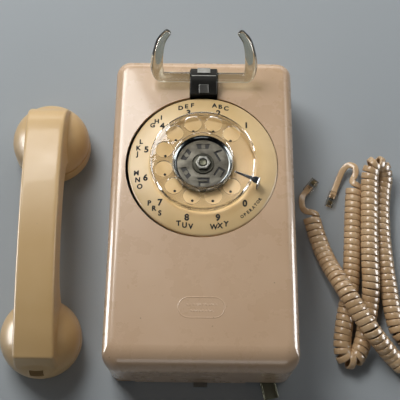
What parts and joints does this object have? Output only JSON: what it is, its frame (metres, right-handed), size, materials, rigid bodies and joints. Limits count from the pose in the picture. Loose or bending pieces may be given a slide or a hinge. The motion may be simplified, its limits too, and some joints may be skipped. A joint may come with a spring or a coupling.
{
  "type": "rotary wall phone",
  "caption": "Wall telephone with a rotary dial, a clear fork hook, a detached handset and a curly cord, lying on its back.",
  "frame": {"origin": "centre of the base plate's wall side", "axes": "+Z out of the wall (up, as the phone lies on its back), +Y to the phone's top, +X to its right"},
  "size_m": [0.3215, 0.2524, 0.098],
  "materials": {
    "housing_plastic": "glossy pinkish beige, scuffed",
    "handset_plastic": "glossy yellowed beige",
    "dial_plastic": "yellowed cream, printed digits",
    "clear_plastic": "clear moulded acrylic, faintly amber",
    "black_plastic": "moulded",
    "grey_plastic": "moulded",
    "cord_plastic": "glossy vinyl, coiled",
    "steel": "zinc plated",
    "black_steel": "black oxide",
    "chrome": "polished",
    "brass": "plain",
    "copper": "wound wire under tape"
  },
  "bodies": {
    "phone": {"housing": "housing_plastic", "base_plate": "steel", "handset_jack": "housing_plastic", "network_block": "grey_plastic", "number_plate": "dial_plastic", "finger_stop": "chrome", "dial_frame": "steel", "dial_bush": "brass", "main_spring": "steel", "governor_cup": "steel", "train_plate": "steel", "pulse_contacts": "brass", "dial_screw_left": "steel", "dial_screw_right": "steel", "dial_bracket_left": "steel", "dial_bracket_right": "steel", "hook_frame": "steel", "hook_pin": "steel", "hook_spring": "steel", "hook_contacts": "brass", "gong_left": "brass", "gong_right": "brass", "gong_screw_left": "steel", "gong_screw_right": "steel", "ringer_frame": "steel", "ringer_coil": "copper", "clapper_post": "steel", "loudness_rivet": "steel", "curly_cord": "cord_plastic", "cord_tail_a": "cord_plastic", "cord_tail_b": "cord_plastic", "cord_plug_a": "clear_plastic", "cord_plug_b": "clear_plastic"},
    "dial_wheel": {"finger_wheel": "clear_plastic", "hub_plate": "steel", "hub_rim": "chrome", "hub_washer": "black_steel", "dial_nut": "steel", "dial_shaft": "steel", "main_gear": "brass"},
    "pulse_cam": {"pulse_cam": "brass"},
    "governor": {"governor": "brass", "governor_weight_left": "brass", "governor_weight_right": "brass"},
    "hook": {"hook_fork": "clear_plastic", "hook_lever": "black_steel", "fork_clip": "black_steel"},
    "clapper": {"clapper": "steel"},
    "loudness_lever": {"loudness_lever": "steel"},
    "handset": {"handset_handle": "handset_plastic", "receiver_cap": "handset_plastic", "transmitter_cap": "handset_plastic", "receiver_unit": "steel", "transmitter_unit": "brass", "transmitter_contacts": "brass", "handset_cord_jack": "black_plastic"}
  },
  "joints": [
    {"name": "dial_turn", "type": "hinge", "parent": "phone", "child": "dial_wheel", "pos_m": [0, 0.031, 0.06156], "axis": [0, 0.0785, 0.9969], "range_deg": [-320, 0], "stiffness_Nm_per_rad": 0.006, "springref_deg": 85.94, "deforming": ["main_spring"]},
    {"name": "pulse_cam_turn", "type": "hinge", "parent": "phone", "child": "pulse_cam", "pos_m": [0, 0.00309, 0.06376], "axis": [0, 0.0785, 0.9969], "range_deg": [0, 960]},
    {"name": "governor_turn", "type": "hinge", "parent": "phone", "child": "governor", "pos_m": [0, 0.05692, 0.05952], "axis": [0, 0.0785, 0.9969], "range_deg": [0, 1344]},
    {"name": "hook_press", "type": "hinge", "parent": "phone", "child": "hook", "pos_m": [0, 0.09, 0.034], "axis": [1, 0, 0], "range_deg": [0, 8], "stiffness_Nm_per_rad": 0.3, "springref_deg": -11.46, "deforming": ["hook_spring"]},
    {"name": "clapper_swing", "type": "hinge", "parent": "phone", "child": "clapper", "pos_m": [0, -0.028, 0.027], "axis": [0, 0, 1], "range_deg": [-5.5, 5.5]},
    {"name": "loudness_swing", "type": "hinge", "parent": "phone", "child": "loudness_lever", "pos_m": [0.0455, -0.1, 0.003], "axis": [0, 0, 1], "range_deg": [-26, 5]},
    {"name": "handset_lift", "type": "slide", "parent": "phone", "child": "handset", "axis": [0, 0, 1], "range_m": [0, 0.12]}
  ],
  "couplings": [
    {"joint": "pulse_cam_turn", "follows": "dial_turn", "ratio": -3},
    {"joint": "governor_turn", "follows": "dial_turn", "ratio": -4.2}
  ]
}
